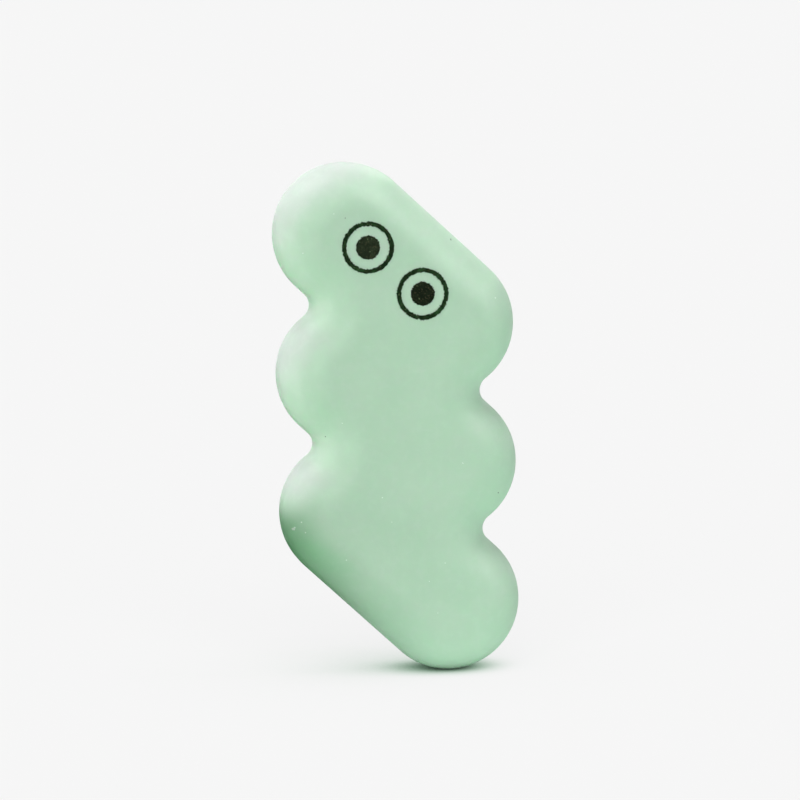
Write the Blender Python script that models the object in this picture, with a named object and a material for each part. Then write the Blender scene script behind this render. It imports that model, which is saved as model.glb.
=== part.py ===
"""Soft novelty eraser.

Three slanted round-ended bars, one above the other, are moulded as one rubber body, and a pair
of ring-and-dot eyes is printed on its front face. Units are metres and +Z is up. The body stands
on the tip of its lowest lobe, with the printed face towards -Y and the origin on the ground
under the middle of the body.
"""

import math

import bpy
from mathutils import Vector

MM = 0.001

# Body outline
BAR_COUNT = 3
LOBE_RADIUS = 8.5 * MM  # the round end of a bar
ROW_PITCH = 16.6 * MM  # from one bar straight down to the next
BAR_SPAN = 15.6 * MM  # between the centres of a bar's two round ends
BAR_SLOPE = math.radians(43.7)  # how far each bar falls towards the right
NOTCH_RADIUS = 1.7 * MM  # the fillet where two bars meet

# Body section
THICKNESS = 13.0 * MM
EDGE_RADIUS = 5.4 * MM  # the rounding between a flat face and the side

# Printed eyes, placed along the middle line of the top bar, from its left end
UPPER_EYE_ALONG = 2.2 * MM
UPPER_EYE_ABOVE = 0.4 * MM
LOWER_EYE_ALONG = 10.7 * MM
LOWER_EYE_ABOVE = 0.7 * MM
RING_OUTER_RADIUS = 3.07 * MM
RING_LINE_WIDTH = 0.47 * MM
PUPIL_RADIUS = 1.42 * MM
INK_THICKNESS = 0.05 * MM

# How finely the round shapes are cut
ARC_STEP = math.radians(7.5)
EDGE_BEVEL_RESOLUTION = 5
SAME_POINT = 0.001 * MM

# sRGB colours, 0 to 255, and how rough each surface is
MINT = (178, 211, 185)
RUBBER_ROUGHNESS = 0.55
INK = (33, 40, 29)
INK_ROUGHNESS = 0.6

# Values that follow from the ones above
EDGE = min(EDGE_RADIUS, THICKNESS / 2, LOBE_RADIUS)  # never past the middle of the wall
FACE_LOBE_RADIUS = LOBE_RADIUS - EDGE
FACE_NOTCH_RADIUS = NOTCH_RADIUS + EDGE
STACK_HEIGHT = (BAR_COUNT - 1) * ROW_PITCH
CENTRE_HEIGHT = LOBE_RADIUS + (STACK_HEIGHT + BAR_SPAN * math.sin(BAR_SLOPE)) / 2
FRONT_FACE_Y = -THICKNESS / 2

# Directions in the plane of the face: down to the right along a bar, and square to it
ALONG_BAR = Vector((math.cos(BAR_SLOPE), -math.sin(BAR_SLOPE)))
ABOVE_BAR = Vector((math.sin(BAR_SLOPE), math.cos(BAR_SLOPE)))
NEXT_BAR = Vector((0, -ROW_PITCH))


def left_end(row):
    """The centre of a bar's left lobe, counted from the top, measured from the body's middle."""
    top_left = (Vector((0, STACK_HEIGHT)) - ALONG_BAR * BAR_SPAN) / 2
    return top_left + NEXT_BAR * row


def angle_of(vector):
    return math.atan2(vector.y, vector.x)


def arc(centre, radius, start, turn):
    """Points on an arc from the start angle, with a positive turn running anticlockwise."""
    steps = max(1, round(abs(turn) / ARC_STEP))
    angles = [start + turn * step / steps for step in range(steps + 1)]
    return [centre + radius * Vector((math.cos(a), math.sin(a))) for a in angles]


def notch_centre():
    """The centre of a left notch's fillet, measured from the left end of the bar above it.

    The fillet touches the straight underside of the upper bar and the round end of the lower
    one, or both round ends where the bars are too level for it to reach the straight side.
    """
    reach = LOBE_RADIUS + NOTCH_RADIUS
    next_along = NEXT_BAR.dot(ALONG_BAR)
    next_below = -NEXT_BAR.dot(ABOVE_BAR)
    along = next_along - math.sqrt(reach**2 - (reach - next_below) ** 2)
    if along >= 0:
        return ALONG_BAR * along - ABOVE_BAR * reach
    return Vector((-math.sqrt(reach**2 - (ROW_PITCH / 2) ** 2), -ROW_PITCH / 2))


def left_side_of_face():
    """The flat face's outline from the top bar's upper edge, round the left ends, to the bottom."""
    notch = notch_centre()
    touched = ALONG_BAR * max(0, notch.dot(ALONG_BAR))
    top = angle_of(ABOVE_BAR)
    lobe_finish = angle_of(notch - touched) % math.tau
    fillet_start = angle_of(touched - notch)
    fillet_finish = angle_of(NEXT_BAR - notch)
    fillet_turn = (fillet_finish - fillet_start) % math.tau - math.tau

    points = []
    lobe_start = top
    for row in range(BAR_COUNT):
        lobe = left_end(row)
        last = row == BAR_COUNT - 1
        finish = top + math.pi if last else lobe_finish
        points += arc(lobe, FACE_LOBE_RADIUS, lobe_start, finish - lobe_start)
        if not last:
            points += arc(lobe + notch, FACE_NOTCH_RADIUS, fillet_start, fillet_turn)
            lobe_start = fillet_finish + math.pi
    return points


def face_outline():
    """The right side is the left side turned half round about the middle of the body."""
    left = left_side_of_face()
    points = left + [-point for point in left]
    return [p for i, p in enumerate(points) if (p - points[i - 1]).length > SAME_POINT]


def linear(colour):
    """A 0 to 255 sRGB colour as the linear RGBA that a shader takes."""
    shares = [channel / 255 for channel in colour]
    return [s / 12.92 if s <= 0.04045 else ((s + 0.055) / 1.055) ** 2.4 for s in shares] + [1.0]


def material(name, colour, roughness):
    made = bpy.data.materials.new(name)
    made.use_nodes = True
    shader = made.node_tree.nodes["Principled BSDF"]
    shader.inputs["Base Color"].default_value = linear(colour)
    shader.inputs["Roughness"].default_value = roughness
    shader.inputs["Metallic"].default_value = 0.0
    made.diffuse_color = linear(colour)
    return made


def flat_curve(name, outlines, finish, parts):
    """A closed 2D curve, filled front and back, and stood up so that its own Y is world Z."""
    curve = bpy.data.curves.new(name, "CURVE")
    curve.dimensions = "2D"
    curve.fill_mode = "BOTH"
    curve.materials.append(finish)
    for points in outlines:
        spline = curve.splines.new("POLY")
        spline.points.add(len(points) - 1)
        for corner, point in zip(spline.points, points):
            corner.co = (point.x, point.y, 0, 1)
        spline.use_cyclic_u = True
    obj = bpy.data.objects.new(name, curve)
    obj.rotation_euler = (math.pi / 2, 0, 0)
    weld = obj.modifiers.new("Weld caps", "WELD")
    weld.merge_threshold = SAME_POINT
    parts.objects.link(obj)
    return obj


def make_body(rubber, parts):
    """The flat face's outline, thickened, with the rounded edge swept round outside it."""
    body = flat_curve("eraser_body", [face_outline()], rubber, parts)
    body.location = (0, 0, CENTRE_HEIGHT)
    body.data.extrude = THICKNESS / 2 - EDGE
    body.data.bevel_depth = EDGE
    body.data.bevel_resolution = EDGE_BEVEL_RESOLUTION


def circle(radius):
    return arc(Vector((0, 0)), radius, 0, math.tau)[:-1]


def make_eye(name, along, above, ink, parts):
    """A ring and a solid dot inside it, each a film of ink lying on the front face."""
    place = left_end(0) + ALONG_BAR * along + ABOVE_BAR * above
    ring_rims = [circle(RING_OUTER_RADIUS), circle(RING_OUTER_RADIUS - RING_LINE_WIDTH)]
    marks = {name + "_ring": ring_rims, name + "_pupil": [circle(PUPIL_RADIUS)]}
    for mark, rims in marks.items():
        film = flat_curve(mark, rims, ink, parts)
        film.data.extrude = INK_THICKNESS / 2
        film.location = (place.x, FRONT_FACE_Y - INK_THICKNESS / 2, CENTRE_HEIGHT + place.y)


def main():
    for old in list(bpy.data.objects):
        bpy.data.objects.remove(old)
    parts = bpy.data.collections.new("eraser")
    bpy.context.scene.collection.children.link(parts)
    rubber = material("mint_rubber", MINT, RUBBER_ROUGHNESS)
    ink = material("printing_ink", INK, INK_ROUGHNESS)
    make_body(rubber, parts)
    make_eye("upper_eye", UPPER_EYE_ALONG, UPPER_EYE_ABOVE, ink, parts)
    make_eye("lower_eye", LOWER_EYE_ALONG, LOWER_EYE_ABOVE, ink, parts)


main()
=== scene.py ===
"""The looks of a soft moulded eraser with printed eyes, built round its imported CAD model."""

import math

import bmesh
import bpy
from mathutils import Matrix, Vector


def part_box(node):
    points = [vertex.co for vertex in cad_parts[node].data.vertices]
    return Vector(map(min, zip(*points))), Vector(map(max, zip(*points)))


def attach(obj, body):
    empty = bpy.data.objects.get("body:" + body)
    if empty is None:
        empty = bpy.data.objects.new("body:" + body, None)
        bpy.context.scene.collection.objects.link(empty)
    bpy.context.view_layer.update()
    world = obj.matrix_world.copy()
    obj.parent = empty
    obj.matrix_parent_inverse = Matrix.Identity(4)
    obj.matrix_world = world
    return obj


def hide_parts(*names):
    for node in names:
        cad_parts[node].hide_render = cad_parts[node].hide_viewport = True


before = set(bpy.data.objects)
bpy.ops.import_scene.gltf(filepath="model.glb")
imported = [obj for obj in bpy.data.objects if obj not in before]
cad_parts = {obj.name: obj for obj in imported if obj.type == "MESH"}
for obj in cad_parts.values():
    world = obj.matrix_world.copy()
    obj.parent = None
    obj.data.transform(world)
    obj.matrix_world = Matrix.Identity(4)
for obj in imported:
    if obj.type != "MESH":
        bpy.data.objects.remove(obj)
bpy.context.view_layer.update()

MM = 0.001
TINY = 0.001 * MM
SAME_POINT = 0.01 * MM

# The moulded body, as in the CAD source
BAR_COUNT = 3
LOBE_RADIUS = 8.5 * MM
ROW_PITCH = 16.6 * MM
BAR_SPAN = 15.6 * MM
BAR_SLOPE = math.radians(43.7)
NOTCH_RADIUS = 1.7 * MM
EDGE_RADIUS = 5.4 * MM
BODY_LOW, BODY_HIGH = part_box("eraser_body")
CENTRE = (BODY_LOW + BODY_HIGH) / 2
HALF_THICKNESS = (BODY_HIGH.y - BODY_LOW.y) / 2
ARC_STEP = math.radians(2.5)
EDGE_SEGMENTS = 24
FACE_BORDER = 0.35 * MM

# Directions in the plane of the face: down to the right along a bar, and square to it
ALONG_BAR = Vector((math.cos(BAR_SLOPE), 0, -math.sin(BAR_SLOPE)))
ABOVE_BAR = Vector((math.sin(BAR_SLOPE), 0, math.cos(BAR_SLOPE)))
NEXT_BAR = Vector((0, 0, -ROW_PITCH))
INTO_BODY = Vector((0, 1, 0))
IN_FACE = Vector((1, 0, 1))

# The printed eyes
RING_LINE_WIDTH = 0.53 * MM
INK_RISE = 0.03 * MM
PRINT_SIDES = 320
PRINT_LOOPS = 3
PRINT_FRAY = 0.27 * MM
PRINT_FRAY_GRAIN = 0.12 * MM
PRINT_FRAY_DEPTH = 3
PRINT_SHARP_CORNER = math.radians(40)

# The camera, in the photograph's place
PHOTO_SIDE = 800
CAMERA_AZIMUTH = math.radians(-8.3)
CAMERA_ELEVATION = math.radians(6.25)
CAMERA_ROLL = math.radians(-1.3)
CAMERA_DISTANCE = 501 * MM
PIXELS_AT_OBJECT = 4200
AIM_RIGHT = 0.5 * MM
AIM_UP = 1.96 * MM
SENSOR = 36
NEAREST = 0.01
FURTHEST = 100

# The rubber's colours
MINT = (180, 208, 185)
MINT_PALE = (185, 210, 189)
# A greyer colour, painted on as a highlight where the light from the upper left falls
PAINTED_HIGHLIGHT = (174, 185, 177)
# A deeper green, painted on as shade under the lowest left lobe
PAINTED_SHADE_MINT = (158, 205, 168)
CHALK = (222, 232, 224)
LINT = (244, 250, 244)
DIRT = (52, 66, 54)
# Its shine, its roughness from smooth to worn, and how far light goes into it
RUBBER_SPECULAR = 0.255
RUBBER_ROUGHNESS = (0.46, 0.54)
RUBBER_DEPTH_SHARE = 0.3
RUBBER_DEPTH = (0.5 * MM, 1.5 * MM, 0.7 * MM)
# The painted highlight, a greyer colour where the light from the upper left falls: the side that it
# faces, the heights between which it begins, and the gap by each notch
HIGHLIGHT_SIDE = (-0.6, 0, 0.8)
HIGHLIGHT_FACING = (0.2, 0.85)
HIGHLIGHT_FOOT = (16 * MM, 24 * MM)
HIGHLIGHT_CLEAR_OF_NOTCH = (0.2 * MM, 3.6 * MM)
PAST_THE_NOTCH = Vector((3.1, 0, -1.1)) * MM
# The painted shade below it: a deeper green where the underside faces away from the light
SHADE_SIDE = (-0.7, 0, -0.7)
SHADE_FACING = (0.1, 0.8)
SHADE_FROM = (10 * MM, 16 * MM)
# Faint marks: how many to a metre, and how much of each colour shows
CLOUD_SCALE = 150
MOTTLE_SCALE = 900
MOTTLE_SHARE = 0.06
SCUFF_SCALE = (350, 350, 1900)
SCUFF_PATCH_SCALE = 260
SCUFF_SHARE = 0.1
SCUFF_ROUGHNESS = 0.12
WORN_SCALE = 420
LINT_SCATTER = {"Scale": 260.0, "Size": 0.018, "Share": 0.1}
LINT_SHARE = 0.75
DIRT_SCATTER = {"Scale": 170.0, "Size": 0.012, "Share": 0.09}
DIRT_SHARE = 0.8
# Where each of these noises begins to show, and where it is full
CLOUD_RANGE = (0.3, 0.7)
MOTTLE_RANGE = (0.45, 0.7)
SCUFF_RANGE = (0.56, 0.78)
SCUFF_PATCH_RANGE = (0.45, 0.7)
WORN_RANGE = (0.3, 0.7)
# Relief: the depth of the grain, and the swells and lint measured in it
GRAIN_DEPTH = 0.012 * MM
GRAIN_SCALE = 4200.0
SWELL_SCALE = 190
SWELL_HEIGHT = 9.0
LINT_HEIGHT = 2.0
# How far and how finely the outline of a speck is pushed about
RAGGED_BY = 0.2 * MM
RAGGED_SCALE = 7000
# Grains of dust on the front: millimetres across from the middle and up from the table, and size
PALE_DUST = (
    (-13.13, 18.03, 0.2),
    (-12.98, 18.25, 0.12),
    (-12.29, 18.97, 0.09),
    (-11.87, 17.73, 0.08),
    (11.43, 44.73, 0.11),
    (6.93, 25.37, 0.08),
    (-2.77, 21.66, 0.1),
    (-1.68, 18.7, 0.06),
    (4.58, 13.54, 0.08),
    (2.62, 11.41, 0.06),
    (3.55, 7.59, 0.07),
    (-7.2, 14.38, 0.08),
    (-7.27, 30.65, 0.07),
    (-7.68, 55.32, 0.07),
    (-11.37, 50.79, 0.08),
)
DARK_DUST = (
    (6.5, 51.66, 0.12),
    (-9.1, 28.93, 0.09),
    (11.35, 21.49, 0.09),
    (-6.37, 54.78, 0.06),
)
# The edge of such a grain and of a scattered speck, in shares of its size from clear to full
SPECK_EDGE = (1.0, 0.6)
SCATTER_EDGE = (1.2, 0.8)
SCATTER_SMALLEST = 0.4
# The fine grain: its lumps against its sand, and how much of its height is sand
LUMP_SCALE = 0.22
SAND_SHARE = 0.6

# The ink: thick and thin colours of each print
RING_INK = ((6, 30, 6), (34, 66, 34))
UPPER_PUPIL_INK = ((24, 34, 18), (38, 48, 30))
LOWER_PUPIL_INK = ((6, 18, 2), (22, 32, 14))
INK_FLECK = (84, 74, 52)
INK_PINHOLE = (104, 122, 84)
INK_SPECULAR = 0.06
INK_ROUGHNESS = 0.7
INK_GRAIN_DEPTH = 0.008 * MM
INK_GRAIN_SCALE = 6500.0
INK_PATCH_SCALE = 1100
INK_PATCH_RANGE = (0.42, 0.7)
INK_FLECK_SCALE = 5600
INK_FLECK_RANGE = (0.54, 0.7)
INK_FLECK_SHARE = 0.4
PINHOLE_SCATTER = {"Scale": 4200.0, "Size": 0.28, "Share": 0.08}
PINHOLE_SHARE = 0.6

# The studio: azimuth and elevation to each lamp in degrees, and how bright it makes white paper
BACKGROUND = 0.923
WORLD_LEVEL = 0.41
LAMP_SPREAD = 28
# On the eraser alone, because on the floor they would throw long shadows
ERASER_LAMPS = {
    "overhead": (0, 90, 0.5),
    "front": (352, 8, 0.43),
    "high_back_left": (235, 60, 0.5),
    "low_front": (15, -60, 0.1),
}
# On the floor alone, where the front one throws its shadow behind the eraser
FLOOR_LAMP_SPREAD = 60
FLOOR_LAMPS = {
    "floor_overhead": (0, 90, 0.6),
    "floor_front": (352, 30, 1.4),
}
# Off centre, so that the seam between the floor's two triangles stays away from the eraser
FLOOR_SIZE = 60
FLOOR_MIDDLE = (10, -10)
# How much of the floor's paleness is its own glow, for the camera. By the eraser that glow is darkened to
# green, a painted shadow
FLOOR_GLOW = 0.9
CONTACT_SAMPLES = 8
# Each part of that painted shadow: its reach, how fast it fades and the direction that it is cast from
CONTACTS = (
    (28 * MM, 3.2, (0.32, -0.4, 0.85)),
    (5 * MM, 4.0, (0, 0, 1)),
)
PAINTED_SHADOW_TINT = (0.42, 1, 0.56, 1)
GLOSS_SPREAD = 40
GLOSS_LAMPS = {
    "gloss_right": (45, 40, 1.57),
    "gloss_left": (270, 50, 0.9),
    "gloss_back_right": (150, 50, 0.53),
}
# Narrow beams from the left, whose lower edge crosses the lowest left lobe
BEAMS = {
    "beam_level": (275, 0, 0.4),
    "beam_back": (238, -5, 0.17),
    "beam_from_below": (275, -28, 0.2),
}
BEAM_HALF_ANGLE = math.radians(3.9)
BEAM_DISTANCE = 400 * MM
BEAM_SIZE = 2 * MM
BEAM_EDGE = 0.15
BEAM_FOOT = Vector((-14 * MM, 0, 19.5 * MM))
# What comes back up to the eraser: mint-white paper, and a dark green card lying on it to the left; near
# the eraser the paper turns to that dark green too, as painted shade
PAPER_COLOUR = (0.36, 0.51, 0.42, 1)
CARD_COLOUR = (0.002, 0.09, 0.015, 1)
CARD_EDGE = -9 * MM
CARD_SOFTNESS = 4 * MM
SIDE_CARD_PLACE = (-26 * MM, 100 * MM, 13 * MM)
SIDE_CARD_HEIGHT = 26 * MM
SIDE_CARD_LENGTH = 500 * MM


# Camera

def make_camera():
    data = bpy.data.cameras.new("camera")
    data.sensor_width = SENSOR
    data.lens = SENSOR * PIXELS_AT_OBJECT / PHOTO_SIDE
    data.clip_start = NEAREST
    data.clip_end = FURTHEST
    camera = bpy.data.objects.new("camera", data)
    bpy.context.scene.collection.objects.link(camera)
    turn = Matrix.Rotation(CAMERA_AZIMUTH, 4, "Z")
    turn @= Matrix.Rotation(math.pi / 2 - CAMERA_ELEVATION, 4, "X")
    turn @= Matrix.Rotation(CAMERA_ROLL, 4, "Z")
    back = CENTRE + turn @ Vector((AIM_RIGHT, AIM_UP, CAMERA_DISTANCE))
    camera.matrix_world = Matrix.Translation(back) @ turn
    bpy.context.scene.camera = camera


# Modelling helpers

def deselect_objects():
    bpy.ops.object.select_all(action="DESELECT")


def edit(obj):
    deselect_objects()
    bpy.context.view_layer.objects.active = obj
    obj.select_set(True)
    bpy.ops.object.mode_set(mode="EDIT")


def leave_edit():
    bpy.ops.object.mode_set(mode="OBJECT")


def select_vertices(obj, wanted):
    """Selects just the vertices that the test accepts, with the edges and faces between them."""
    mesh = bmesh.from_edit_mesh(obj.data)
    bpy.ops.mesh.select_mode(type="VERT")
    bpy.ops.mesh.select_all(action="DESELECT")
    for vertex in mesh.verts:
        vertex.select = wanted(vertex)
    mesh.select_flush(True)
    bmesh.update_edit_mesh(obj.data)


def apply_modifier(obj, modifier):
    deselect_objects()
    bpy.context.view_layer.objects.active = obj
    obj.select_set(True)
    bpy.ops.object.modifier_apply(modifier=modifier.name)


# Body

def left_end(row):
    """The centre of a bar's left lobe, counted from the top, measured from the body's middle."""
    stack = NEXT_BAR * (BAR_COUNT - 1)
    return (-stack - ALONG_BAR * BAR_SPAN) / 2 + NEXT_BAR * row


def notch_centre():
    """The centre of a left notch's fillet, measured from the left end of the bar above it."""
    reach = LOBE_RADIUS + NOTCH_RADIUS
    next_below = -NEXT_BAR.dot(ABOVE_BAR)
    along = NEXT_BAR.dot(ALONG_BAR) - math.sqrt(reach**2 - (reach - next_below) ** 2)
    return ALONG_BAR * along - ABOVE_BAR * reach


def face_angle(vector):
    """The direction of a vector in the face, anticlockwise from +X as the camera sees it."""
    return math.atan2(vector.z, vector.x)


def sweep_arc(centre, angle):
    steps = max(1, round(abs(angle) / ARC_STEP))
    bpy.ops.mesh.spin(steps=steps, angle=angle, center=centre, axis=(0, 1, 0))


def sweep_straight(move):
    bpy.ops.mesh.extrude_region_move(TRANSFORM_OT_translate={"value": move})


def edge_section():
    """A quarter of a round edge and half the side band, standing at the top bar's left end."""
    start = CENTRE + left_end(0) + ABOVE_BAR * (LOBE_RADIUS - EDGE_RADIUS)
    bpy.ops.mesh.primitive_circle_add(
        vertices=4 * EDGE_SEGMENTS,
        radius=EDGE_RADIUS,
        location=start,
        rotation=(0, -face_angle(ABOVE_BAR), 0),
    )
    section = bpy.context.object
    bpy.ops.object.transform_apply(location=True, rotation=True, scale=True)
    edit(section)
    select_vertices(
        section,
        lambda v: (v.co - start).dot(ABOVE_BAR) < -TINY or v.co.y > start.y + TINY,
    )
    bpy.ops.mesh.delete(type="VERT")
    bpy.ops.mesh.select_all(action="SELECT")
    bpy.ops.transform.translate(value=INTO_BODY * (EDGE_RADIUS - HALF_THICKNESS))
    side = start + ABOVE_BAR * EDGE_RADIUS
    select_vertices(section, lambda v: (v.co - side).dot(ABOVE_BAR) > -TINY)
    bpy.ops.mesh.extrude_region_move(
        TRANSFORM_OT_translate={"value": INTO_BODY * (HALF_THICKNESS - EDGE_RADIUS)}
    )
    bpy.ops.mesh.select_all(action="SELECT")
    return section


def sweep_outline():
    """Carries the selected section once round the outline: left ends, bottom, right ends, top."""
    notch = notch_centre()
    along = ALONG_BAR * notch.dot(ALONG_BAR)
    notch_turn = (face_angle(along - notch) - face_angle(NEXT_BAR - notch)) % math.tau
    for side in (1, -1):
        lobe_turn = math.pi
        for row in range(BAR_COUNT):
            lobe = CENTRE + left_end(row) * side
            sweep_arc(lobe, lobe_turn)
            if row < BAR_COUNT - 1:
                sweep_straight(along * side)
                sweep_arc(lobe + notch * side, -notch_turn)
                lobe_turn = notch_turn
        sweep_straight(ALONG_BAR * BAR_SPAN * side)


def make_body(finish):
    body = edge_section()
    body.name = body.data.name = "moulded_body"
    sweep_outline()
    bpy.ops.mesh.select_all(action="SELECT")
    bpy.ops.mesh.remove_doubles(threshold=SAME_POINT)
    select_vertices(body, lambda v: v.is_boundary and v.co.y < BODY_LOW.y + TINY)
    bpy.ops.mesh.edge_face_add()
    bpy.ops.mesh.inset(thickness=FACE_BORDER)
    bpy.ops.mesh.inset(thickness=FACE_BORDER)
    leave_edit()
    mirror = body.modifiers.new("Back half", "MIRROR")
    mirror.use_axis = (False, True, False)
    mirror.merge_threshold = TINY
    apply_modifier(body, mirror)
    edit(body)
    bpy.ops.mesh.select_all(action="SELECT")
    bpy.ops.mesh.normals_make_consistent(inside=False)
    leave_edit()
    bpy.ops.object.shade_smooth()
    body.data.materials.append(finish)
    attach(body, "root")
    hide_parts("eraser_body")
    return body


# Printed eyes

def lay_flat_circle(name, node, radius):
    """A circle on the front face, at the middle of the CAD print that it takes the place of."""
    low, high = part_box(node)
    middle = (low + high) / 2
    centre = Vector((middle.x, BODY_LOW.y, middle.z))
    deselect_objects()
    bpy.ops.mesh.primitive_circle_add(
        vertices=PRINT_SIDES,
        radius=radius,
        location=centre,
        rotation=(math.pi / 2, 0, 0),
    )
    circle = bpy.context.object
    circle.name = circle.data.name = name
    bpy.ops.object.transform_apply(location=True, rotation=True, scale=True)
    return circle, centre


def print_radius(node):
    low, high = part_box(node)
    return (high.x - low.x) / 2


def ring_outline(name, node):
    """Loops from the inner edge of the ring's line to its outer edge."""
    outer = print_radius(node)
    radius = outer - RING_LINE_WIDTH
    ring, centre = lay_flat_circle(name, node, radius)
    edit(ring)
    bpy.ops.mesh.select_all(action="SELECT")
    for _ in range(PRINT_LOOPS):
        wider = radius + RING_LINE_WIDTH / PRINT_LOOPS
        bpy.ops.mesh.extrude_region_move()
        bpy.ops.transform.resize(value=[wider / radius] * 3, center_override=centre)
        radius = wider
    leave_edit()
    return ring


def disc_outline(name, node):
    """A disc with loops that let its rim fray without moving its middle."""
    disc, centre = lay_flat_circle(name, node, print_radius(node))
    edit(disc)
    bpy.ops.mesh.select_all(action="SELECT")
    bpy.ops.mesh.edge_face_add()
    for _ in range(PRINT_LOOPS):
        bpy.ops.mesh.inset(thickness=RING_LINE_WIDTH / PRINT_LOOPS)
    leave_edit()
    return disc


def fray_rims(piece):
    """Moves the edges of the print in the plane of the face, as ink that has crept on rubber."""
    rims = piece.vertex_groups.new(name="rims")
    edit(piece)
    select_vertices(piece, lambda v: v.is_boundary)
    bpy.ops.object.vertex_group_assign()
    leave_edit()
    for direction, basis in (("X", "IMPROVED_PERLIN"), ("Z", "ORIGINAL_PERLIN")):
        grain = bpy.data.textures.new(f"{piece.name} fray {direction}", "CLOUDS")
        grain.noise_basis = basis
        grain.noise_scale = PRINT_FRAY_GRAIN
        grain.noise_depth = PRINT_FRAY_DEPTH
        fray = piece.modifiers.new(f"Fray {direction}", "DISPLACE")
        fray.texture = grain
        fray.texture_coords = "LOCAL"
        fray.direction = direction
        fray.vertex_group = rims.name
        fray.strength = 2 * PRINT_FRAY
        apply_modifier(piece, fray)


def make_print(piece, node, finish):
    """Gives a flat outline the thickness of ink, its material and its place in the frame."""
    fray_rims(piece)
    edit(piece)
    bpy.ops.mesh.select_all(action="SELECT")
    bpy.ops.mesh.extrude_region_move(TRANSFORM_OT_translate={"value": INTO_BODY * -INK_RISE})
    bpy.ops.mesh.select_all(action="SELECT")
    bpy.ops.mesh.normals_make_consistent(inside=False)
    leave_edit()
    bpy.ops.object.shade_smooth_by_angle(angle=PRINT_SHARP_CORNER)
    piece.data.materials.append(finish)
    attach(piece, "root")
    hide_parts(node)
    return piece


def make_eye(eye, ring_ink, pupil_ink):
    ring = f"{eye}_eye_ring"
    pupil = f"{eye}_eye_pupil"
    return [
        make_print(ring_outline(f"{eye}_ring_print", ring), ring, ring_ink),
        make_print(disc_outline(f"{eye}_pupil_print", pupil), pupil, pupil_ink),
    ]


# Materials

def linear(colour):
    """A 0 to 255 sRGB colour as the linear RGBA that a shader takes."""
    shares = [channel / 255 for channel in colour]
    return [s / 12.92 if s <= 0.04045 else ((s + 0.055) / 1.055) ** 2.4 for s in shares] + [1.0]


def add(tree, kind, inputs=(), **settings):
    """A node with its settings, each input given as a value or as another node's output."""
    node = tree.nodes.new(kind)
    for name, value in settings.items():
        setattr(node, name, value)
    for name, value in dict(inputs).items():
        if isinstance(value, bpy.types.NodeSocket):
            tree.links.new(value, node.inputs[name])
        else:
            node.inputs[name].default_value = value
    return node


def blend(tree, below, above, share):
    """One colour over another by a mask."""
    node = add(tree, "ShaderNodeMix", data_type="RGBA")
    for name, value in (("A", below), ("B", above), ("Factor", share)):
        if isinstance(value, bpy.types.NodeSocket):
            tree.links.new(value, node.inputs[name])
        else:
            node.inputs[name].default_value = value
    return node.outputs["Result"]


def maths(tree, operation, first, second):
    node = add(tree, "ShaderNodeMath", {0: first, 1: second}, operation=operation)
    return node.outputs[0]


def ramp(tree, value, low, high, to_low=0.0, to_high=1.0):
    """A value carried smoothly from one range to another, and held at its ends."""
    inputs = {
        "Value": value,
        "From Min": low,
        "From Max": high,
        "To Min": to_low,
        "To Max": to_high,
    }
    node = add(tree, "ShaderNodeMapRange", inputs, interpolation_type="SMOOTHSTEP")
    return node.outputs["Result"]


def new_group(name, inputs, outputs):
    """An empty node group with its named inputs and outputs, and the nodes that hold them."""
    group = bpy.data.node_groups.new(name, "ShaderNodeTree")
    for label, (kind, value) in inputs.items():
        socket = group.interface.new_socket(label, in_out="INPUT", socket_type=kind)
        socket.default_value = value
    for label in outputs:
        group.interface.new_socket(label, in_out="OUTPUT", socket_type="NodeSocketFloat")
    return group, add(group, "NodeGroupInput").outputs, add(group, "NodeGroupOutput").inputs


def use_group(tree, group, **inputs):
    node = add(tree, "ShaderNodeGroup", node_tree=group)
    for label, value in inputs.items():
        socket = node.inputs[label.replace("_", " ")]
        if isinstance(value, bpy.types.NodeSocket):
            tree.links.new(value, socket)
        else:
            socket.default_value = value
    return node.outputs[0]


def noise_at(tree, place, scale, detail=2.0, roughness=0.5):
    inputs = {"Vector": place, "Scale": scale, "Detail": detail, "Roughness": roughness}
    return add(tree, "ShaderNodeTexNoise", inputs).outputs["Fac"]


def make_speck_group():
    """One grain of dust at a place on the front, as a mask."""
    inputs = {
        "Position": ("NodeSocketVector", (0, 0, 0)),
        "Across": ("NodeSocketFloat", 0.0),
        "Up": ("NodeSocketFloat", 0.0),
        "Size": ("NodeSocketFloat", 0.1 * MM),
    }
    group, given, out = new_group("speck", inputs, ["Mask"])
    axes = add(group, "ShaderNodeSeparateXYZ", {"Vector": given["Position"]}).outputs
    across = maths(group, "SUBTRACT", axes["X"], given["Across"])
    up = maths(group, "SUBTRACT", axes["Z"], given["Up"])
    across_squared = maths(group, "MULTIPLY", across, across)
    squares = maths(group, "ADD", across_squared, maths(group, "MULTIPLY", up, up))
    apart = maths(group, "SQRT", squares, 0.0)
    spot = ramp(group, maths(group, "DIVIDE", apart, given["Size"]), *SPECK_EDGE)
    front = maths(group, "LESS_THAN", axes["Y"], 0.0)
    group.links.new(maths(group, "MULTIPLY", spot, front), out["Mask"])
    return group


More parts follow.
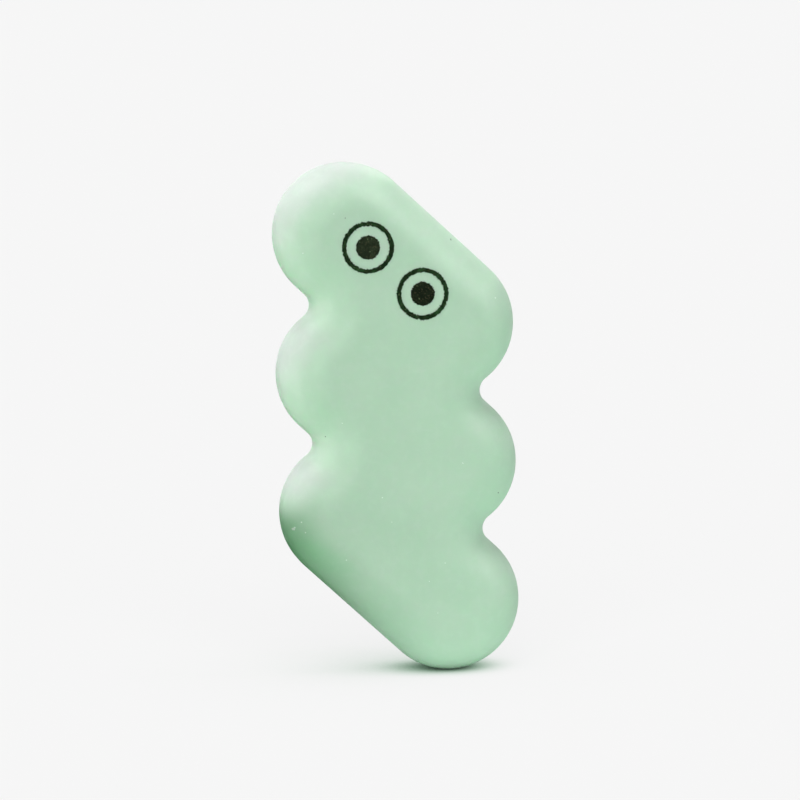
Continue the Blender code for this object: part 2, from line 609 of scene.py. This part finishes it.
def make_scatter_group():
    """Sparse specks of random size all over a surface, as a mask."""
    inputs = {
        "Position": ("NodeSocketVector", (0, 0, 0)),
        "Scale": ("NodeSocketFloat", 300.0),
        "Size": ("NodeSocketFloat", 0.05),
        "Share": ("NodeSocketFloat", 0.1),
    }
    group, given, out = new_group("scattered specks", inputs, ["Mask"])
    cells = add(
        group,
        "ShaderNodeTexVoronoi",
        {"Vector": given["Position"], "Scale": given["Scale"], "Randomness": 1.0},
    ).outputs
    chance = add(group, "ShaderNodeSeparateColor", {"Color": cells["Color"]}).outputs
    share_of_size = maths(group, "ADD", chance["Green"], SCATTER_SMALLEST)
    size = maths(group, "MULTIPLY", given["Size"], share_of_size)
    near = maths(group, "DIVIDE", cells["Distance"], size)
    spot = ramp(group, near, *SCATTER_EDGE)
    chosen = maths(group, "LESS_THAN", chance["Red"], given["Share"])
    group.links.new(maths(group, "MULTIPLY", spot, chosen), out["Mask"])
    return group


def make_grain_group():
    """Fine sandy grain over coarser lumps, as a height from 0 to 1."""
    inputs = {
        "Position": ("NodeSocketVector", (0, 0, 0)),
        "Scale": ("NodeSocketFloat", 5000.0),
    }
    group, given, out = new_group("fine grain", inputs, ["Height"])
    sand = noise_at(group, given["Position"], given["Scale"], 3.0, 0.6)
    coarse = maths(group, "MULTIPLY", given["Scale"], LUMP_SCALE)
    lumps = noise_at(group, given["Position"], coarse, 2.0)
    sand_height = maths(group, "MULTIPLY", sand, SAND_SHARE)
    lump_height = maths(group, "MULTIPLY", lumps, 1 - SAND_SHARE)
    height = maths(group, "ADD", sand_height, lump_height)
    group.links.new(height, out["Height"])
    return group


def new_finish(name):
    """A material, its tree, its shader and the object's own coordinates."""
    made = bpy.data.materials.new(name)
    made.use_nodes = True
    tree = made.node_tree
    place = add(tree, "ShaderNodeTexCoord").outputs["Object"]
    return made, tree, tree.nodes["Principled BSDF"], place


def ragged(tree, place):
    """The place moved by up to RAGGED_BY along each axis, so that a round mask comes out ragged."""
    push = add(tree, "ShaderNodeTexNoise", {"Vector": place, "Scale": RAGGED_SCALE, "Detail": 1.0})
    inputs = {0: push.outputs["Color"], 1: [RAGGED_BY] * 3, 2: place}
    return add(tree, "ShaderNodeVectorMath", inputs, operation="MULTIPLY_ADD").outputs[0]


def dust_on_front(tree, place, speck, grains):
    """The grains of dust that can be pointed at, as one mask."""
    mask = 0.0
    usual_move = RAGGED_BY / 2
    for across, up, size in grains:
        spot = {
            "Across": across * MM + usual_move,
            "Up": up * MM + usual_move,
            "Size": size * MM,
        }
        mask = maths(tree, "MAXIMUM", mask, use_group(tree, speck, Position=place, **spot))
    return mask


def facing(tree, side):
    """How far the surface faces a side, from -1 to 1."""
    inputs = {0: add(tree, "ShaderNodeTexCoord").outputs["Normal"], 1: side}
    return add(tree, "ShaderNodeVectorMath", inputs, operation="DOT_PRODUCT").outputs["Value"]


def highlight_on_lit_side(tree, place):
    """A painted highlight: how far the surface faces up and left, towards the light, and is painted
    greyer, clear of the notches and the foot.
    """
    up = add(tree, "ShaderNodeSeparateXYZ", {"Vector": place}).outputs["Z"]
    above = ramp(tree, facing(tree, HIGHLIGHT_SIDE), *HIGHLIGHT_FACING)
    highlight = maths(tree, "MULTIPLY", above, ramp(tree, up, *HIGHLIGHT_FOOT))
    inputs = {0: place, 1: IN_FACE}
    flat = add(tree, "ShaderNodeVectorMath", inputs, operation="MULTIPLY").outputs[0]
    for row in range(BAR_COUNT - 1):
        gap = CENTRE + left_end(row) + notch_centre() + PAST_THE_NOTCH
        inputs = {0: flat, 1: gap * IN_FACE}
        apart = add(tree, "ShaderNodeVectorMath", inputs, operation="DISTANCE").outputs["Value"]
        highlight = maths(tree, "MULTIPLY", highlight, ramp(tree, apart, *HIGHLIGHT_CLEAR_OF_NOTCH))
    return highlight


def painted_shade_under_lowest_lobe(tree, place):
    """Painted shade: how far the underside of the lowest left lobe is painted a deeper green."""
    up = add(tree, "ShaderNodeSeparateXYZ", {"Vector": place}).outputs["Z"]
    below_highlight = ramp(tree, up, *HIGHLIGHT_FOOT, 1.0, 0.0)
    band = maths(tree, "MULTIPLY", ramp(tree, up, *SHADE_FROM), below_highlight)
    return maths(tree, "MULTIPLY", ramp(tree, facing(tree, SHADE_SIDE), *SHADE_FACING), band)


def make_rubber(grain, speck, scatter):
    made, tree, shader, place = new_finish("mint_rubber")
    shader.inputs["Specular IOR Level"].default_value = RUBBER_SPECULAR
    shader.inputs["Subsurface Weight"].default_value = RUBBER_DEPTH_SHARE
    shader.inputs["Subsurface Radius"].default_value = RUBBER_DEPTH
    shader.inputs["Subsurface Scale"].default_value = 1.0

    clouding = ramp(tree, noise_at(tree, place, CLOUD_SCALE, 3.0), *CLOUD_RANGE)
    colour = blend(tree, linear(MINT), linear(MINT_PALE), clouding)
    # Painted highlight: greyer on the side that faces the light at the upper left
    colour = blend(tree, colour, linear(PAINTED_HIGHLIGHT), highlight_on_lit_side(tree, place))
    # Painted shade: a deeper green on the underside of the lowest left lobe
    colour = blend(tree, colour, linear(PAINTED_SHADE_MINT), painted_shade_under_lowest_lobe(tree, place))
    mottle = ramp(tree, noise_at(tree, place, MOTTLE_SCALE, 3.0, 0.6), *MOTTLE_RANGE)
    colour = blend(tree, colour, linear(CHALK), maths(tree, "MULTIPLY", mottle, MOTTLE_SHARE))

    stretched = add(
        tree,
        "ShaderNodeMapping",
        {"Vector": place, "Rotation": (0, -BAR_SLOPE / 2, 0), "Scale": SCUFF_SCALE},
    ).outputs["Vector"]
    streaks = ramp(tree, noise_at(tree, stretched, 1.0, 3.0, 0.6), *SCUFF_RANGE)
    patches = ramp(tree, noise_at(tree, place, SCUFF_PATCH_SCALE, 1.0), *SCUFF_PATCH_RANGE)
    scuffs = maths(tree, "MULTIPLY", streaks, patches)
    colour = blend(tree, colour, linear(CHALK), maths(tree, "MULTIPLY", scuffs, SCUFF_SHARE))

    lint = use_group(tree, scatter, Position=place, **LINT_SCATTER)
    rough_place = ragged(tree, place)
    lint = maths(tree, "MAXIMUM", lint, dust_on_front(tree, rough_place, speck, PALE_DUST))
    colour = blend(tree, colour, linear(LINT), maths(tree, "MULTIPLY", lint, LINT_SHARE))
    dirt = use_group(tree, scatter, Position=place, **DIRT_SCATTER)
    dirt = maths(tree, "MAXIMUM", dirt, dust_on_front(tree, rough_place, speck, DARK_DUST))
    colour = blend(tree, colour, linear(DIRT), maths(tree, "MULTIPLY", dirt, DIRT_SHARE))
    tree.links.new(colour, shader.inputs["Base Color"])

    wear = noise_at(tree, place, WORN_SCALE, 3.0)
    worn = ramp(tree, wear, *WORN_RANGE, *RUBBER_ROUGHNESS)
    rough = maths(tree, "ADD", worn, maths(tree, "MULTIPLY", scuffs, SCUFF_ROUGHNESS))
    tree.links.new(rough, shader.inputs["Roughness"])

    fine = use_group(tree, grain, Position=place, Scale=GRAIN_SCALE)
    swells = maths(tree, "MULTIPLY", noise_at(tree, place, SWELL_SCALE, 1.0), SWELL_HEIGHT)
    raised = maths(tree, "MULTIPLY", lint, LINT_HEIGHT)
    height = maths(tree, "ADD", maths(tree, "ADD", fine, swells), raised)
    bump = add(tree, "ShaderNodeBump", {"Height": height, "Distance": GRAIN_DEPTH})
    tree.links.new(bump.outputs["Normal"], shader.inputs["Normal"])
    return made


def make_ink(name, thick, thin, grain, scatter):
    """Dull ink, thinner in patches, with brown flecks and pinholes where the rubber shows."""
    made, tree, shader, place = new_finish(name)
    shader.inputs["Specular IOR Level"].default_value = INK_SPECULAR
    shader.inputs["Roughness"].default_value = INK_ROUGHNESS
    patches = ramp(tree, noise_at(tree, place, INK_PATCH_SCALE, 3.0, 0.7), *INK_PATCH_RANGE)
    colour = blend(tree, linear(thick), linear(thin), patches)
    flecks = ramp(tree, noise_at(tree, place, INK_FLECK_SCALE, 2.0, 0.6), *INK_FLECK_RANGE)
    colour = blend(tree, colour, linear(INK_FLECK), maths(tree, "MULTIPLY", flecks, INK_FLECK_SHARE))
    holes = use_group(tree, scatter, Position=place, **PINHOLE_SCATTER)
    colour = blend(tree, colour, linear(INK_PINHOLE), maths(tree, "MULTIPLY", holes, PINHOLE_SHARE))
    tree.links.new(colour, shader.inputs["Base Color"])
    fine = use_group(tree, grain, Position=place, Scale=INK_GRAIN_SCALE)
    bump = add(tree, "ShaderNodeBump", {"Height": fine, "Distance": INK_GRAIN_DEPTH})
    tree.links.new(bump.outputs["Normal"], shader.inputs["Normal"])
    return made


# Stage

def light_from(azimuth, elevation):
    """The direction to a lamp: azimuth 0 is on the camera's side, 90 to its right, in degrees."""
    around, up = math.radians(azimuth), math.radians(elevation)
    return Vector((math.sin(around) * math.cos(up), -math.cos(around) * math.cos(up), math.sin(up)))


def place_lamp(data, azimuth, elevation, away=Vector()):
    lamp = bpy.data.objects.new(data.name, data)
    lamp.location = away
    lamp.rotation_euler = light_from(azimuth, elevation).to_track_quat("Z", "Y").to_euler()
    bpy.context.scene.collection.objects.link(lamp)
    return lamp


def make_sun(name, azimuth, elevation, level, spread):
    data = bpy.data.lights.new(name, "SUN")
    data.angle = math.radians(spread)
    data.energy = math.pi * level
    return place_lamp(data, azimuth, elevation)


def make_beam(name, azimuth, elevation, level):
    data = bpy.data.lights.new(name, "SPOT")
    data.spot_size = 2 * BEAM_HALF_ANGLE
    data.spot_blend = BEAM_EDGE
    data.shadow_soft_size = BEAM_SIZE
    data.energy = level * (2 * math.pi * BEAM_DISTANCE) ** 2
    upwards = light_from(azimuth, elevation + 90)
    lift = BEAM_DISTANCE * math.tan(BEAM_HALF_ANGLE) * upwards
    away = BEAM_FOOT + lift + BEAM_DISTANCE * light_from(azimuth, elevation)
    return place_lamp(data, azimuth, elevation, away)


def light_only(lamp, lit, pieces):
    """The lamp lights just one collection, and only the eraser's pieces cast shadows from it."""
    lamp.light_linking.receiver_collection = lit
    lamp.light_linking.blocker_collection = pieces


def collect(name, objects):
    collection = bpy.data.collections.new(name)
    for obj in objects:
        collection.objects.link(obj)
    return collection


def make_lamps(pieces, floor):
    eraser = collect("eraser_pieces", pieces)
    for name, (azimuth, elevation, level) in ERASER_LAMPS.items():
        light_only(make_sun(name, azimuth, elevation, level, LAMP_SPREAD), eraser, eraser)
    for name, (azimuth, elevation, level) in BEAMS.items():
        light_only(make_beam(name, azimuth, elevation, level), eraser, eraser)
    for name, (azimuth, elevation, level) in GLOSS_LAMPS.items():
        make_sun(name, azimuth, elevation, level, GLOSS_SPREAD).visible_diffuse = False
    floor_pieces = collect("floor_pieces", [floor])
    for name, (azimuth, elevation, level) in FLOOR_LAMPS.items():
        light_only(make_sun(name, azimuth, elevation, level, FLOOR_LAMP_SPREAD), floor_pieces, eraser)


def floor_light():
    """How bright white paper on the floor is under the world and its lamps."""
    lamps = [level * math.sin(math.radians(up)) for _, up, level in FLOOR_LAMPS.values()]
    return WORLD_LEVEL + sum(lamps)


def seen_ray(tree, gloss=1.0):
    """1 for what the camera sees, straight, in a clear surface or, by the share given, in a shiny one."""
    rays = add(tree, "ShaderNodeLightPath").outputs
    straight = maths(tree, "MAXIMUM", rays["Is Camera Ray"], rays["Is Transmission Ray"])
    return maths(tree, "MAXIMUM", straight, maths(tree, "MULTIPLY", rays["Is Glossy Ray"], gloss))


def clear_of_painted_shadow(tree):
    """A painted shadow by the eraser: from 0 where the eraser touches the floor to 1 a little way off."""
    free = 1.0
    for reach, power, side in CONTACTS:
        towards = add(tree, "ShaderNodeCombineXYZ", dict(zip("XYZ", side))).outputs[0]
        near = {"Distance": reach, "Normal": towards}
        around = add(tree, "ShaderNodeAmbientOcclusion", near, samples=CONTACT_SAMPLES)
        shade = maths(tree, "SUBTRACT", 1.0, around.outputs["AO"])
        closed = maths(tree, "POWER", shade, power)
        free = maths(tree, "MULTIPLY", free, maths(tree, "SUBTRACT", 1.0, closed))
    return free


def make_floor():
    """Pale paper for the camera, its glow darkened to green by a painted shadow near the eraser. The
    eraser sees the card on it too, and the same dark green as painted shade near the eraser.
    """
    finish, tree, shader, place = new_finish("studio_paper")
    shader.inputs["Roughness"].default_value = 1
    shader.inputs["Specular IOR Level"].default_value = 0
    along = add(tree, "ShaderNodeSeparateXYZ", {"Vector": place}).outputs["X"]
    bare = ramp(tree, along, CARD_EDGE - CARD_SOFTNESS, CARD_EDGE + CARD_SOFTNESS)
    free = clear_of_painted_shadow(tree)
    # Painted shade: near the eraser the light given back turns to the card's dark green
    bounce = blend(tree, CARD_COLOUR, PAPER_COLOUR, maths(tree, "MULTIPLY", bare, free))
    seen = seen_ray(tree, bare)
    white = BACKGROUND * (1 - FLOOR_GLOW) / floor_light()
    tree.links.new(blend(tree, bounce, [white] * 3 + [1], seen), shader.inputs["Base Color"])
    # Painted shadow: the floor's glow is tinted green and darkened near the eraser
    tree.links.new(blend(tree, PAINTED_SHADOW_TINT, [1] * 4, free), shader.inputs["Emission Color"])
    glow = maths(tree, "MULTIPLY", maths(tree, "MULTIPLY", seen, free), BACKGROUND * FLOOR_GLOW)
    tree.links.new(glow, shader.inputs["Emission Strength"])
    deselect_objects()
    bpy.ops.mesh.primitive_plane_add(size=FLOOR_SIZE, location=(*FLOOR_MIDDLE, BODY_LOW.z))
    bpy.ops.object.transform_apply(location=True, rotation=False, scale=False)
    floor = bpy.context.object
    floor.name = "floor"
    floor.data.materials.append(finish)
    return floor


def make_side_card():
    """The same dark card turned up at the left, which only the eraser's shine shows."""
    finish, _, shader, _ = new_finish("side_card")
    shader.inputs["Base Color"].default_value = (0, 0, 0, 1)
    shader.inputs["Specular IOR Level"].default_value = 0
    shader.inputs["Emission Color"].default_value = CARD_COLOUR
    shader.inputs["Emission Strength"].default_value = 1
    deselect_objects()
    bpy.ops.mesh.primitive_plane_add(size=1, location=SIDE_CARD_PLACE, rotation=(0, math.pi / 2, 0))
    card = bpy.context.object
    card.name = "side_card"
    bpy.ops.transform.resize(value=(SIDE_CARD_HEIGHT, SIDE_CARD_LENGTH, 1), orient_type="LOCAL")
    bpy.ops.object.transform_apply(location=False, rotation=False, scale=True)
    card.data.materials.append(finish)
    for ray in ("camera", "diffuse", "transmission", "shadow", "volume_scatter"):
        setattr(card, f"visible_{ray}", False)


def make_world():
    world = bpy.data.worlds.new("studio")
    bpy.context.scene.world = world
    world.use_nodes = True
    level = ramp(world.node_tree, seen_ray(world.node_tree), 0.0, 1.0, WORLD_LEVEL, BACKGROUND)
    background = world.node_tree.nodes["Background"]
    background.inputs["Color"].default_value = (1, 1, 1, 1)
    world.node_tree.links.new(level, background.inputs["Strength"])


make_camera()
GRAIN = make_grain_group()
SPECK = make_speck_group()
SCATTER = make_scatter_group()
PIECES = [make_body(make_rubber(GRAIN, SPECK, SCATTER))]
ring_ink = make_ink("ring_ink", *RING_INK, GRAIN, SCATTER)
PIECES += make_eye("upper", ring_ink, make_ink("upper_pupil_ink", *UPPER_PUPIL_INK, GRAIN, SCATTER))
PIECES += make_eye("lower", ring_ink, make_ink("lower_pupil_ink", *LOWER_PUPIL_INK, GRAIN, SCATTER))
make_lamps(PIECES, make_floor())
make_side_card()
make_world()
bpy.context.scene.view_settings.view_transform = "Standard"
